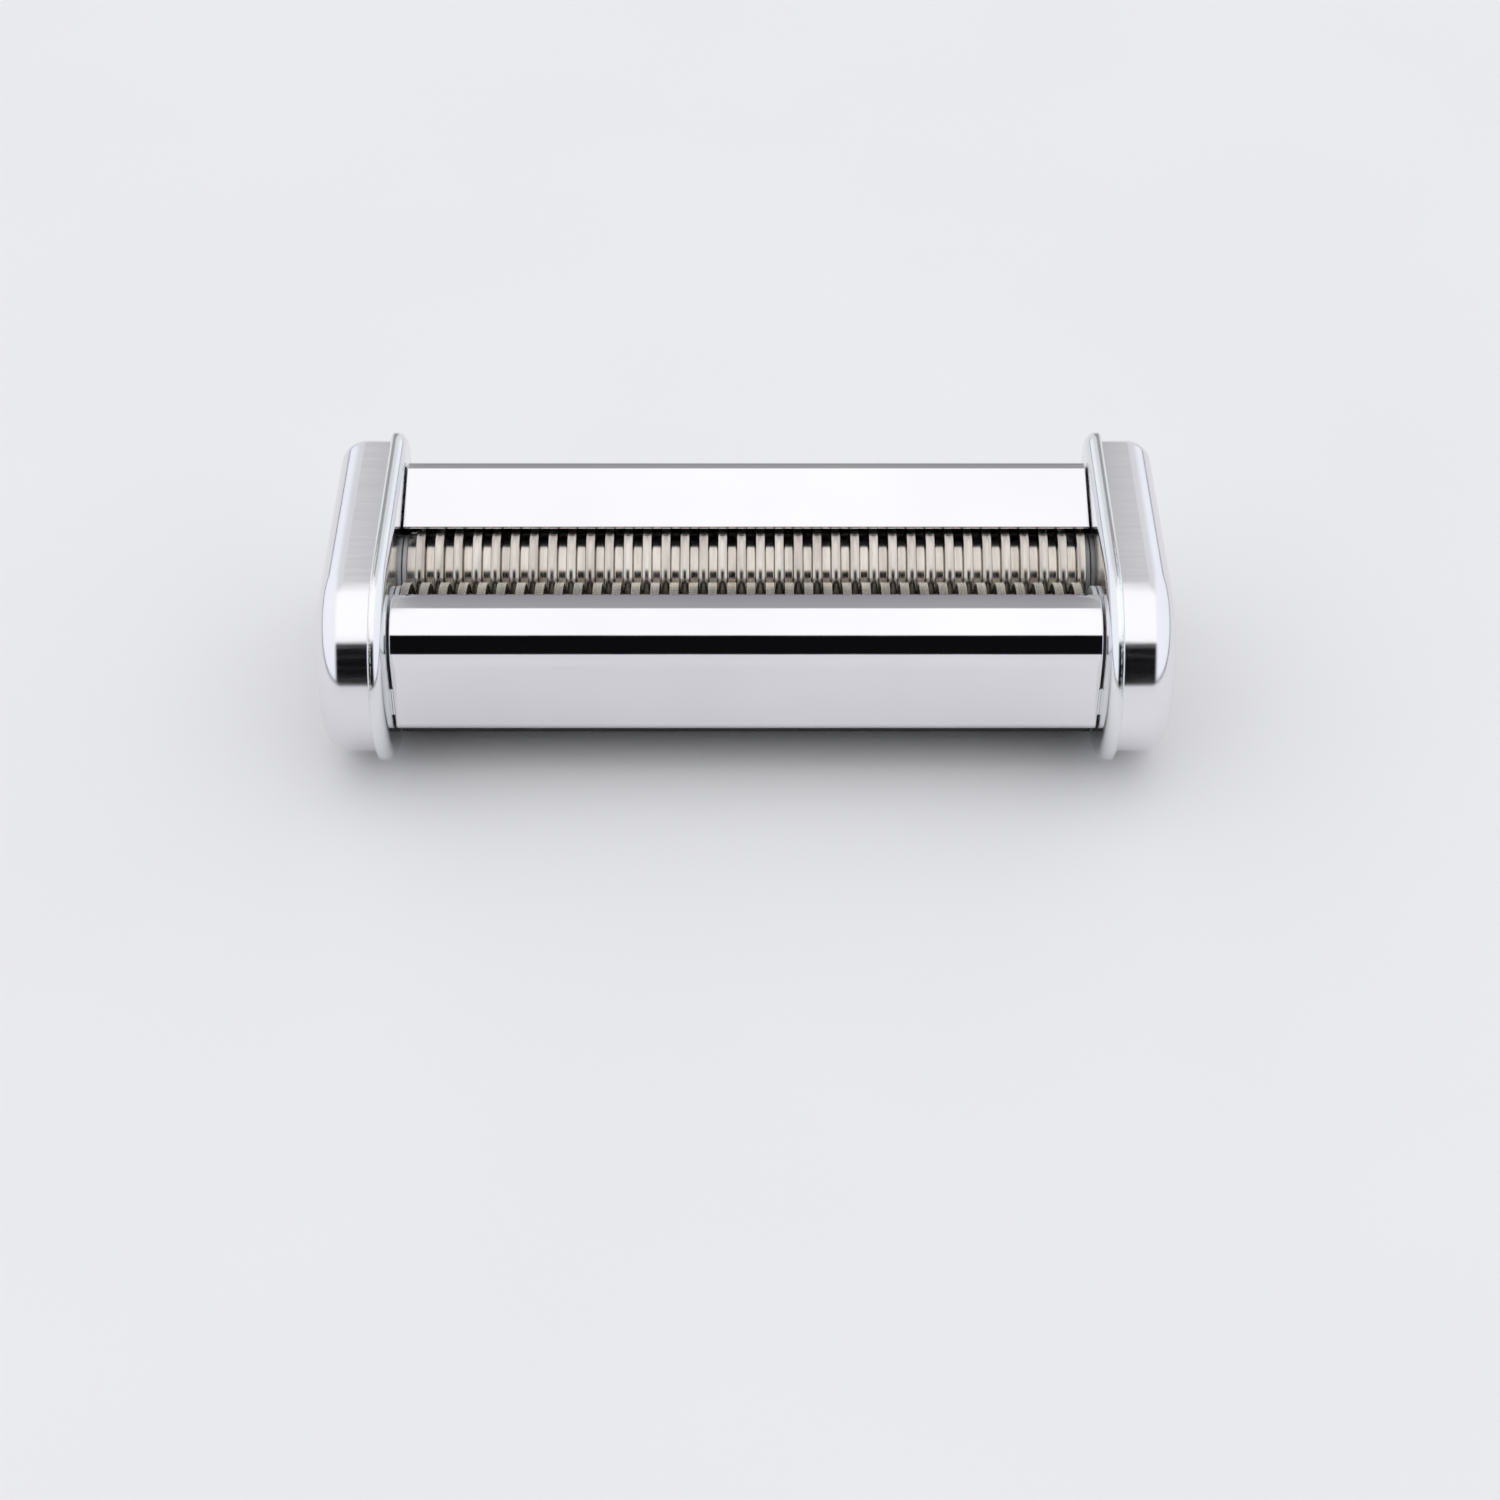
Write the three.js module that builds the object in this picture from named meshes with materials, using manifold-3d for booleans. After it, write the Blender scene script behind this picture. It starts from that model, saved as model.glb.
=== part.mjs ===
// Pasta cutter head: two grooved rollers that mesh between two pressed side plates.
// Units are millimetres. +X is to the right, -Y is the front, +Z is up.
// The origin is at the middle of the footprint, on the surface the head stands on.
import * as THREE from "three";
import { mergeVertices } from "three/addons/utils/BufferGeometryUtils.js";
import Module from "manifold-3d";

// ---- Driving dimensions ----

// Cutter rollers.
const ridgeCount = 36; // ridges on each roller
const ridgePitch = 4; // from one ridge to the next
const ridgeSideGap = 0.1; // between a ridge and the wall of the groove it runs in
const ridgeHeight = 2.4; // from the groove's floor to the ridge's top
const ridgeTipGap = 0.25; // between a ridge's top and the other roller's groove floor
const gearTeeth = 17; // an odd count, so two equal gears mesh in the same position
const gearModule = 1.25; // pitch diameter over tooth count
const gearAddendum = 0.92; // over the module
const gearDedendum = 1.25; // over the module
const journalRadius = 5;
const driveJournalRadius = 6.5; // the end that takes the crank
const gearSeatRadius = 4;
const crankSocketFlats = 7.6; // across the flats of the hexagonal socket
const crankSocketDepth = 13;
const crankEndInset = 1; // of the crank socket's end from the end cap's face

// Side plates and end caps.
const frontRimMargin = 10.5; // from the front cover's face to the rim's nose
const rearRimMargin = 6.875; // from the rear cover's back to the rim's rear edge
const rimRollerMargin = 11.3; // from the rollers' ridges to the rim's top and bottom
const rollerAxisRise = 0.5; // of the rollers' axes above the side plates' middle
const rearCornerRadius = 7.8;
const plateSheet = 1.5;
const panDepth = 3.2; // from the plate's inner face to its rim's edge
const panRounding = 2.6;
const capInset = 1.9; // from the rim's outline to the cap's
const capProud = 11.1; // how far the cap's face stands out of the rim
const capSheet = 1.2;
const capFillet = 5.4;
const crankHoleRadius = 8;

// Covers.
const coverSheet = 0.8;
const frontCoverGap = 3.375; // between the front roller's ridges and the front cover
const frontCrownRadius = 9.5;
const frontCrownRise = 3; // of the crown's top above the front roller's
const frontLipSlope = 20; // degrees down towards the slot
const frontLipLength = 0.7;
const frontCoverDrop = 12.5; // of the front cover's lower edge below the rollers' axes
const frontFlangeDepth = 4.2;
const rearCoverGap = 7; // between the rear roller's ridges and the rear cover's back
const rearSlotEdgeRise = 1.3; // of the slot's rear edge above the rear roller's top, right over its axis
const rearTopSlope = 16.7; // degrees up towards the back
const rearTopBend = 4;
const rearCoverDrop = 15.5; // of the rear cover's lower edge below the rollers' axes
const rearFlangeDepth = 8;
const bottomBend = 2.5;
const tabWidth = 7;
const frontTabDrop = 4; // of the front tabs below the rollers' axes

// Rods, nuts, bushes, washers, clips and rivets.
const tieRodRadius = 3;
const tieRodRearGap = 1.2; // between the tie rods and the rear cover's back
const tieRodRise = 0.8; // of a tie rod's side over the cover's slot edge or lower flange
const studRadius = 2;
const combRodRadius = 1.5;
const nutFlats = 7;
const combNutFlats = 5.5;
const nutThickness = 3.2;
const studPastNut = 1;
const bushWall = 2;
const bushFlangeSpacing = 2.25; // between the flanges of neighbouring bushes
const bushFlangeThickness = 1.2;
const washerThickness = 1;
const frontWasherInset = 0.7; // of the front washer's edge from the ridges' tops
const washerSpacing = 1.65; // between neighbouring washers
const clipThickness = 0.7;
const clipReach = 1.6; // how far a clip stands out of its shaft
const clipGrooveDepth = 0.8;
const shaftPastClip = 1.2;
const gearWidth = 5.5;
const gearFlat = 3; // from the shaft's axis to the flat that drives the gear
const rivetRadius = 1.5;
const rivetHeadRadius = 2.6;
const rivetHeadThickness = 0.9;

// Combs.
const combBarSize = 7;
const combRodOffset = 4.5; // of the comb's rod outwards from its roller's axis
const combRollerGap = 0.8; // between the comb's bar and its roller's lowest point
const combFingerWidth = 1.5;
const combFingerTipAngle = -25; // seen from the roller's axis, 0 points at the other roller
const combFingerRootAngle = -100;
const combTipThickness = 0.8;
const combFingerDepth = 3; // at the middle of the finger

// Mounting rails.
const railOffset = 62; // from the middle of the head to a rail's middle
const railWidth = 13;
const railDepth = 4.6;
const railSheet = 1.2;
const railLip = 3;
const railHeight = 22;
const rivetInset = 5; // from a rail's end to its rivet

// Clearances.
const seatGap = 0.3; // between pieces that rest on or in each other
const coverEndGap = 0.4; // between a cover's end and the side plate
const boreGap = 0.15; // around rods and bushes in their holes
const runningGap = 0.05; // around a turning journal
const endGap = 0.1; // beside a thrust washer
const gearBacklash = 0.12;

// Facets.
const noseSteps = 14;
const cornerSteps = 4;
const filletSteps = 3;
const bendSteps = 6;
const rollerFacets = 12;
const boreFacets = 16;
const flankSteps = 2;
const fingerSteps = 3;
const rivetFacets = 8;

// ---- Sizes worked out from the driving dimensions ----

const axisSpacing = gearTeeth * gearModule;
const ridgeWidth = ridgePitch / 2 - ridgeSideGap;
const ridgeRadius = (axisSpacing - ridgeTipGap + ridgeHeight) / 2;
const grooveRadius = ridgeRadius - ridgeHeight;
const headHeight = 2 * (ridgeRadius + rimRollerMargin);
const rollerAxisHeight = headHeight / 2 + rollerAxisRise;
const frontAxisY = -axisSpacing / 2;
const rearAxisY = axisSpacing / 2;
const rollerTop = rollerAxisHeight + ridgeRadius;
const frontBottomHeight = rollerAxisHeight - frontCoverDrop;
const rearBottomHeight = rollerAxisHeight - rearCoverDrop;
const frontWasherRadius = ridgeRadius - frontWasherInset;
const rearWasherRadius = axisSpacing - frontWasherRadius - washerSpacing;
const railBottom = (headHeight - railHeight) / 2;
const railTop = railBottom + railHeight;
const rollerHalf = (ridgeCount * ridgePitch) / 2;
const innerFace = rollerHalf + washerThickness + 2 * endGap; // the plate's face that the rollers run against
const panFloor = innerFace + plateSheet;
const rimEdge = innerFace + panDepth;
const capFace = rimEdge + capProud;
const capMouth = panFloor + (panRounding - plateSheet) / 2 + seatGap;
const flangeStart = panFloor + seatGap;
const flangeEnd = flangeStart + bushFlangeThickness;
const gearStart = flangeEnd + seatGap;
const gearEnd = gearStart + gearWidth;
const gearClipStart = gearEnd + seatGap / 2;
const shaftEnd = gearClipStart + clipThickness + shaftPastClip;
const drivenClipStart = flangeEnd + seatGap / 2;
const drivenShaftEnd = drivenClipStart + clipThickness + shaftPastClip;
const crankEnd = capFace - crankEndInset;
const studEnd = panFloor + seatGap + nutThickness + studPastNut;
const frontFaceY = frontAxisY - ridgeRadius - frontCoverGap - coverSheet;
const frontCrownHeight = rollerTop + frontCrownRise;
const rearFaceY = rearAxisY + ridgeRadius + rearCoverGap + coverSheet;
const rearSlotEdgeY = rearAxisY;
const rearSlotEdgeHeight = rollerTop + rearSlotEdgeRise;
const plateFront = frontFaceY - frontRimMargin;
const plateRear = rearFaceY + rearRimMargin;
const combRodY = axisSpacing / 2 + combRodOffset; // from the middle of the head
const combRodHeight = rollerAxisHeight - ridgeRadius - combRollerGap - combBarSize / 2;
const tieRodY = rearFaceY - coverSheet - tieRodRadius - tieRodRearGap;
const upperRodHeight = rearSlotEdgeHeight - coverSheet - tieRodRadius + tieRodRise;
const lowerRodHeight = rearBottomHeight + coverSheet + tieRodRadius + tieRodRise;

// ---- Materials ----

function metal(name, color, roughness) {
  return new THREE.MeshStandardMaterial({ name, color, roughness, metalness: 1 });
}

function plastic(name, color, roughness) {
  return new THREE.MeshStandardMaterial({ name, color, roughness, metalness: 0 });
}

const chrome = () => metal("chrome", 0xdfe1e6, 0.08);
const cutterSteel = () => metal("cutter_steel", 0xa89f94, 0.28);
const plainSteel = () => metal("plain_steel", 0xb4b6b8, 0.35);
const bronze = () => metal("bronze", 0xb08a4a, 0.4);
const nylon = () => plastic("nylon", 0xc9cbce, 0.5);
const combPlastic = () => plastic("comb_plastic", 0x2b2b2d, 0.55);

// ---- Geometry helpers ----

const wasm = await Module();
wasm.setup();

function radians(degrees) {
  return (degrees * Math.PI) / 180;
}

// A closed three.js geometry as a solid that can be joined and cut.
function solid(geometry) {
  const bare = geometry.clone();
  bare.deleteAttribute("normal");
  bare.deleteAttribute("uv");
  const merged = mergeVertices(bare, 1e-4);
  const mesh = new wasm.Mesh({
    numProp: 3,
    vertProperties: merged.attributes.position.array,
    triVerts: new Uint32Array(merged.index.array),
  });
  return new wasm.Manifold(mesh);
}

function geometryOf(body) {
  const mesh = body.getMesh();
  const geometry = new THREE.BufferGeometry();
  geometry.setAttribute("position", new THREE.BufferAttribute(mesh.vertProperties, 3));
  geometry.setIndex(new THREE.BufferAttribute(mesh.triVerts, 1));
  geometry.computeVertexNormals();
  return geometry;
}

function cutAll(body, cutters) {
  return cutters.reduce((rest, cutter) => rest.subtract(solid(cutter)), solid(body));
}

// Points of an arc; angles are in degrees, anticlockwise from the first axis.
function arc(centreX, centreY, radius, from, to, steps) {
  return Array.from({ length: steps + 1 }, (_, i) => {
    const angle = radians(from + ((to - from) * i) / steps);
    return new THREE.Vector2(centreX + radius * Math.cos(angle), centreY + radius * Math.sin(angle));
  });
}

// A section drawn in the head's (y, z), carried along the head's X from one place to another.
// Inside the section frame, local x is the head's y, local y its z and local z its x.
function carried(points, from, to, hole) {
  const shape = new THREE.Shape(points);
  if (hole) shape.holes.push(new THREE.Path(hole));
  const geometry = new THREE.ExtrudeGeometry(shape, { depth: to - from, bevelEnabled: false });
  return geometry.translate(0, 0, from);
}

function polygon(radius, sides, turn = 0) {
  return arc(0, 0, radius, turn, turn + 360 - 360 / sides, sides - 1);
}

// The corner radius of a faceted hole that a round piece of this radius clears by the gap.
function holeRadius(radius, gap, sides = boreFacets) {
  return (radius + gap) / Math.cos(Math.PI / sides);
}

function hole(y, z, radius, gap, from, to) {
  const cutter = carried(polygon(holeRadius(radius, gap), boreFacets), from, to);
  return cutter.translate(y, z, 0);
}

function block(y, z, sizeY, sizeZ, from, to) {
  const geometry = new THREE.BoxGeometry(sizeY, sizeZ, to - from);
  return geometry.translate(y, z, (from + to) / 2);
}

// A turned piece: profile rows are [radius, place along X], from left to right.
function turned(profile, facets = boreFacets) {
  const points = profile.map(([radius, along]) => new THREE.Vector2(radius, along));
  return new THREE.LatheGeometry(points, facets).rotateX(Math.PI / 2);
}

function piece(name, geometry, material, y = 0, z = 0, x = 0) {
  const mesh = new THREE.Mesh(geometry, material);
  mesh.name = name;
  mesh.position.set(y, z, x);
  return mesh;
}

// A bent sheet: the outer face's points, and the same points offset inwards by the thickness.
function sheetSection(outer, inner) {
  return [...outer, ...inner.reverse()];
}

// ---- Side plates and end caps ----

// The side's outline drawn inset: a half-round nose, two rounded rear corners, flats between.
function sideOutline(inset) {
  const noseRadius = headHeight / 2 - inset;
  const cornerRadius = rearCornerRadius - inset;
  const noseY = plateFront + headHeight / 2;
  const cornerY = plateRear - rearCornerRadius;
  return [
    ...arc(noseY, headHeight / 2, noseRadius, 90, 270, noseSteps),
    ...arc(cornerY, rearCornerRadius, cornerRadius, -90, 0, cornerSteps),
    ...arc(cornerY, headHeight - rearCornerRadius, cornerRadius, 0, 90, cornerSteps),
  ];
}

// A block of that outline with one rounded end, as a press tool would have.
function pressTool(inset, roundedEnd, openEnd, fillet) {
  const length = Math.abs(openEnd - roundedEnd);
  const geometry = new THREE.ExtrudeGeometry(new THREE.Shape(sideOutline(inset)), {
    depth: length,
    bevelThickness: fillet,
    bevelSize: fillet,
    bevelOffset: -fillet,
    bevelSegments: filletSteps,
  });
  const opensOutwards = openEnd > roundedEnd;
  geometry.translate(0, 0, opensOutwards ? roundedEnd + fillet : roundedEnd - fillet - length);
  const margin = fillet + 1;
  const keepFrom = opensOutwards ? roundedEnd - margin : openEnd;
  const keepTo = opensOutwards ? openEnd : roundedEnd + margin;
  const keep = block(0, headHeight / 2, 2 * (plateRear - plateFront), 2 * headHeight, keepFrom, keepTo);
  return solid(geometry).intersect(solid(keep));
}

// Tabs of the covers, as [y, z, size in y, size in z].
const coverTabs = {
  front: [frontFaceY + coverSheet / 2, rollerAxisHeight - frontTabDrop, coverSheet, tabWidth],
  rear: [rearFaceY - coverSheet / 2, rollerAxisHeight, coverSheet, tabWidth],
};

const tieRod = { radius: tieRodRadius, stud: studRadius, flats: nutFlats };
const combRod = { radius: combRodRadius, stud: combRodRadius, flats: combNutFlats };
const rods = {
  upper_tie_rod: { y: tieRodY, z: upperRodHeight, ...tieRod },
  lower_tie_rod: { y: tieRodY, z: lowerRodHeight, ...tieRod },
  front_comb_rod: { y: -combRodY, z: combRodHeight, ...combRod },
  rear_comb_rod: { y: combRodY, z: combRodHeight, ...combRod },
};

function sidePlate(frontJournal, rearJournal) {
  const past = 1;
  let plate = pressTool(0, innerFace, rimEdge, panRounding);
  const hollow = pressTool(plateSheet, panFloor, rimEdge + past, panRounding - plateSheet);
  plate = plate.subtract(hollow);
  const cutters = [
    hole(frontAxisY, rollerAxisHeight, frontJournal + bushWall, boreGap, innerFace - past, panFloor + past),
    hole(rearAxisY, rollerAxisHeight, rearJournal + bushWall, boreGap, innerFace - past, panFloor + past),
  ];
  for (const rod of Object.values(rods)) {
    cutters.push(hole(rod.y, rod.z, rod.stud, boreGap, innerFace - past, panFloor + past));
  }
  for (const [y, z, sizeY, sizeZ] of Object.values(coverTabs)) {
    const slot = block(y, z, sizeY + 2 * seatGap, sizeZ + 2 * seatGap, innerFace - past, panFloor + past);
    cutters.push(slot);
  }
  return geometryOf(cutters.reduce((rest, cutter) => rest.subtract(solid(cutter)), plate));
}

function endCap(withCrankHole) {
  const outside = pressTool(capInset, capFace, capMouth, capFillet);
  const inside = pressTool(capInset + capSheet, capFace - capSheet, capMouth - 1, capFillet - capSheet);
  const cap = outside.subtract(inside);
  if (!withCrankHole) return geometryOf(cap);
  const drillFrom = capFace - capSheet - 1;
  const crankHole = hole(frontAxisY, rollerAxisHeight, crankHoleRadius, 0, drillFrom, capFace + 1);
  return geometryOf(cap.subtract(solid(crankHole)));
}

// ---- Covers ----

function frontCoverSection(offset) {
  const radius = frontCrownRadius - offset;
  const crownY = frontFaceY + frontCrownRadius;
  const crownZ = frontCrownHeight - frontCrownRadius;
  const crown = arc(crownY, crownZ, radius, 180, 90 - frontLipSlope, 2 * bendSteps);
  const slope = radians(frontLipSlope);
  const tangent = crown[crown.length - 1];
  const lipEnd = new THREE.Vector2(
    tangent.x + frontLipLength * Math.cos(slope),
    tangent.y - frontLipLength * Math.sin(slope),
  );
  const bendY = frontFaceY + bottomBend;
  const bendZ = frontBottomHeight + bottomBend;
  const bottom = arc(bendY, bendZ, bottomBend - offset, 270, 180, bendSteps / 2);
  const flangeEdge = new THREE.Vector2(frontFaceY + frontFlangeDepth, frontBottomHeight + offset);
  return [flangeEdge, ...bottom, ...crown, lipEnd];
}

function rearCoverSection(offset) {
  const slope = radians(rearTopSlope);
  const slotEdge = new THREE.Vector2(
    rearSlotEdgeY + offset * Math.sin(slope),
    rearSlotEdgeHeight - offset * Math.cos(slope),
  );
  // The bend's centre lies its radius under the sloping top and in front of the back face.
  const centreY = rearFaceY - rearTopBend;
  const underTop = rearTopBend / Math.cos(slope);
  const centreZ = rearSlotEdgeHeight + (centreY - rearSlotEdgeY) * Math.tan(slope) - underTop;
  const top = arc(centreY, centreZ, rearTopBend - offset, 90 + rearTopSlope, 0, bendSteps);
  const bendZ = rearBottomHeight + bottomBend;
  const bottom = arc(rearFaceY - bottomBend, bendZ, bottomBend - offset, 0, -90, bendSteps / 2);
  const flange = new THREE.Vector2(rearFaceY - rearFlangeDepth, rearBottomHeight + offset);
  return [slotEdge, ...top, ...bottom, flange];
}

const rivetPlaces = [railBottom + rivetInset, railTop - rivetInset];

function cover(section, [tabY, tabZ, tabSizeY, tabSizeZ], rivetHoles) {
  const half = innerFace - coverEndGap;
  const points = sheetSection(section(0), section(coverSheet));
  const tab = block(tabY, tabZ, tabSizeY, tabSizeZ, -panFloor - seatGap, panFloor + seatGap);
  let body = solid(carried(points, -half, half)).add(solid(tab));
  if (rivetHoles) {
    for (const x of [-railOffset, railOffset]) {
      for (const z of rivetPlaces) {
        const drill = new THREE.CylinderGeometry(rivetRadius + boreGap, rivetRadius + boreGap, 4, 12);
        drill.rotateZ(Math.PI / 2);
        body = body.subtract(solid(drill.translate(rearFaceY, z, x)));
      }
    }
  }
  return geometryOf(body);
}

// ---- Cutter rollers ----

function ridgeRows(firstRidge) {
  const rows = [];
  for (let i = 0; i < ridgeCount; i++) {
    const left = firstRidge + i * ridgePitch - ridgeWidth / 2;
    const right = left + ridgeWidth;
    rows.push([grooveRadius, left], [ridgeRadius, left], [ridgeRadius, right], [grooveRadius, right]);
  }
  return rows;
}

// The gear end is on the left of both rollers: a journal, the gear's seat and a clip groove.
const gearEndRows = [
  [0, -shaftEnd],
  [gearSeatRadius, -shaftEnd],
  [gearSeatRadius, -gearClipStart - clipThickness - 2 * endGap],
  [gearSeatRadius - clipGrooveDepth, -gearClipStart - clipThickness - 2 * endGap],
  [gearSeatRadius - clipGrooveDepth, -gearClipStart + endGap],
  [gearSeatRadius, -gearClipStart + endGap],
  [gearSeatRadius, -gearStart],
  [journalRadius, -gearStart],
  [journalRadius, -rollerHalf],
  [grooveRadius, -rollerHalf],
];

function driveRoller() {
  const rows = [
    ...gearEndRows,
    ...ridgeRows(-rollerHalf + ridgePitch / 4),
    [grooveRadius, rollerHalf],
    [driveJournalRadius, rollerHalf],
    [driveJournalRadius, crankEnd],
    [0, crankEnd],
  ];
  const socketRadius = crankSocketFlats / 2 / Math.cos(Math.PI / 6);
  const socket = carried(polygon(socketRadius, 6), crankEnd - crankSocketDepth, crankEnd + 1);
  const driveFlat = block(0, gearSeatRadius, 20, 2 * (gearSeatRadius - gearFlat), -shaftEnd - 1, -gearStart);
  return geometryOf(cutAll(turned(rows, rollerFacets), [socket, driveFlat]));
}

function drivenRoller() {
  const rows = [
    ...gearEndRows,
    ...ridgeRows(-rollerHalf + (3 * ridgePitch) / 4),
    [grooveRadius, rollerHalf],
    [journalRadius, rollerHalf],
    [journalRadius, drivenClipStart - endGap],
    [journalRadius - clipGrooveDepth, drivenClipStart - endGap],
    [journalRadius - clipGrooveDepth, drivenClipStart + clipThickness + 2 * endGap],
    [journalRadius, drivenClipStart + clipThickness + 2 * endGap],
    [journalRadius, drivenShaftEnd],
    [0, drivenShaftEnd],
  ];
  const driveFlat = block(0, gearSeatRadius, 20, 2 * (gearSeatRadius - gearFlat), -shaftEnd - 1, -gearStart);
  return geometryOf(cutAll(turned(rows, rollerFacets), [driveFlat]));
}

// Involute gear: the flanks narrow from the base circle to the tip.
function gearOutline() {
  const pitchRadius = axisSpacing / 2;
  const pressureAngle = radians(20);
  const baseRadius = pitchRadius * Math.cos(pressureAngle);
  const tipRadius = pitchRadius + gearAddendum * gearModule;
  const rootRadius = pitchRadius - gearDedendum * gearModule;
  const involute = (angle) => Math.tan(angle) - angle;
  const halfAngleAt = (radius) => {
    const atPitch = Math.PI / (2 * gearTeeth) - gearBacklash / (2 * pitchRadius);
    return atPitch + involute(pressureAngle) - involute(Math.acos(Math.min(1, baseRadius / radius)));
  };
  const points = [];
  const place = (radius, angle) =>
    points.push(new THREE.Vector2(radius * Math.cos(angle), radius * Math.sin(angle)));
  for (let i = 0; i < gearTeeth; i++) {
    const middle = (i * 2 * Math.PI) / gearTeeth;
    place(rootRadius, middle - halfAngleAt(baseRadius));
    for (let s = 0; s <= flankSteps; s++) {
      const radius = baseRadius + ((tipRadius - baseRadius) * s) / flankSteps;
      place(radius, middle - halfAngleAt(radius));
    }
    for (let s = flankSteps; s >= 0; s--) {
      const radius = baseRadius + ((tipRadius - baseRadius) * s) / flankSteps;
      place(radius, middle + halfAngleAt(radius));
    }
    place(rootRadius, middle + halfAngleAt(baseRadius));
  }
  return points;
}

// The gear's bore has a flat above the axis that matches the shaft's.
function gear() {
  const flat = gearFlat + boreGap;
  const radius = holeRadius(gearSeatRadius, boreGap);
  const flatAngle = (Math.asin(flat / radius) * 180) / Math.PI;
  const bore = arc(0, 0, radius, 180 - flatAngle, 360 + flatAngle, boreFacets - 4);
  return carried(gearOutline(), -gearEnd, -gearStart - boreGap, bore);
}

// ---- Small pieces ----

// A rod: plain all along, or with a shoulder at each plate where its studs are thinner.
function rod({ radius, stud }) {
  const shoulder = innerFace - seatGap;
  const leftEnd = [[0, -studEnd], [stud, -studEnd]];
  const leftShoulder = [[stud, -shoulder], [radius, -shoulder]];
  const left = radius > stud ? [...leftEnd, ...leftShoulder] : leftEnd;
  const right = left.map(([r, along]) => [r, -along]).reverse();
  return turned([...left, ...right], boreFacets / 2);
}

function nut({ stud, flats }) {
  const hexagon = polygon(flats / 2 / Math.cos(Math.PI / 6), 6);
  const thread = polygon(holeRadius(stud, boreGap, 12), 12);
  return carried(hexagon, flangeStart, flangeStart + nutThickness, thread);
}

// A flanged bush: the barrel fills the plate's hole, the flange stays outside it.
// The flanges of two neighbouring bushes share the space between their barrels.
function bush(bore, neighbourBore) {
  const inner = holeRadius(bore, runningGap);
  const barrel = bore + bushWall;
  const flange = barrel + (axisSpacing - bushFlangeSpacing - barrel - neighbourBore - bushWall) / 2;
  return turned([
    [inner, innerFace + endGap],
    [barrel, innerFace + endGap],
    [barrel, flangeStart],
    [flange, flangeStart],
    [flange, flangeEnd],
    [inner, flangeEnd],
    [inner, innerFace + endGap],
  ]);
}

function thrustWasher(bore, radius) {
  const inner = holeRadius(bore, boreGap);
  return carried(
    polygon(radius, boreFacets),
    rollerHalf + endGap,
    rollerHalf + endGap + washerThickness,
    polygon(inner, boreFacets),
  );
}

// A retaining clip: most of a ring, open at the bottom, in the shaft's groove.
function clip(shaftRadius) {
  const inner = shaftRadius - clipGrooveDepth + boreGap;
  const outer = shaftRadius + clipReach;
  const outside = arc(0, 0, outer, -60, 240, 14);
  const inside = arc(0, 0, inner / Math.cos(radians(10)), 240, -60, 14);
  return carried([...outside, ...inside], 0, clipThickness);
}

// ---- Combs ----

// One comb of the front roller; the rear one is the same piece turned round.
function comb() {
  const rodY = -combRodY;
  const half = innerFace - seatGap;
  const bar = block(rodY, combRodHeight, combBarSize, combBarSize, -half, half);
  const fingerRadius = grooveRadius + seatGap;
  const edge = arc(frontAxisY, rollerAxisHeight, fingerRadius,
    combFingerRootAngle, combFingerTipAngle, fingerSteps);
  const middleAngle = (combFingerTipAngle + combFingerRootAngle) / 2;
  const barTop = combRodHeight + combBarSize / 2;
  const root = [
    ...arc(frontAxisY, rollerAxisHeight, fingerRadius + combTipThickness, combFingerTipAngle, middleAngle, 1)
      .slice(0, 1),
    ...arc(frontAxisY, rollerAxisHeight, fingerRadius + combFingerDepth, middleAngle, middleAngle, 1)
      .slice(0, 1),
    new THREE.Vector2(rodY + combBarSize / 2 - 1, combRodHeight - combBarSize / 4),
    new THREE.Vector2(rodY, barTop - 1),
    new THREE.Vector2(rodY, barTop + 0.5),
  ];
  let body = solid(bar);
  const firstGroove = -rollerHalf + (3 * ridgePitch) / 4;
  for (let i = 0; i < ridgeCount - 1; i++) {
    const middle = firstGroove + i * ridgePitch;
    const from = middle - combFingerWidth / 2;
    body = body.add(solid(carried([...edge, ...root], from, from + combFingerWidth)));
  }
  const bore = hole(rodY, combRodHeight, combRodRadius, boreGap, -half - 1, half + 1);
  return geometryOf(body.subtract(solid(bore)));
}

// ---- Mounting rails ----

// A channel, open towards the back, drawn in (x, y) about its own middle and carried upwards.
function rail() {
  const half = railWidth / 2;
  const wall = half - railSheet;
  const lip = half - railLip;
  const mouth = railDepth - railSheet;
  const section = [
    [-half, 0], [half, 0],
    [half, railDepth], [lip, railDepth], [lip, mouth], [wall, mouth],
    [wall, railSheet], [-wall, railSheet],
    [-wall, mouth], [-lip, mouth], [-lip, railDepth], [-half, railDepth],
  ].map(([x, y]) => new THREE.Vector2(x, y));
  const height = railTop - railBottom;
  const body = new THREE.ExtrudeGeometry(new THREE.Shape(section), { depth: height, bevelEnabled: false });
  const drills = rivetPlaces.map((z) => {
    const drill = new THREE.CylinderGeometry(rivetRadius + boreGap, rivetRadius + boreGap, 4, 12);
    return drill.translate(0, 0, z - railBottom);
  });
  return geometryOf(cutAll(body, drills));
}

// A rivet: its shank passes the rail and the cover, with a head on each side.
function rivet() {
  const grip = coverSheet + seatGap + railSheet + 2 * seatGap;
  const rows = [
    [0, -rivetHeadThickness],
    [rivetHeadRadius, -rivetHeadThickness],
    [rivetHeadRadius, 0],
    [rivetRadius, 0],
    [rivetRadius, grip],
    [rivetHeadRadius, grip],
    [rivetHeadRadius, grip + rivetHeadThickness],
    [0, grip + rivetHeadThickness],
  ];
  const points = rows.map(([radius, along]) => new THREE.Vector2(radius, along));
  return new THREE.LatheGeometry(points, rivetFacets);
}

// ---- Assembly ----

const head = new THREE.Group();

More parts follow.
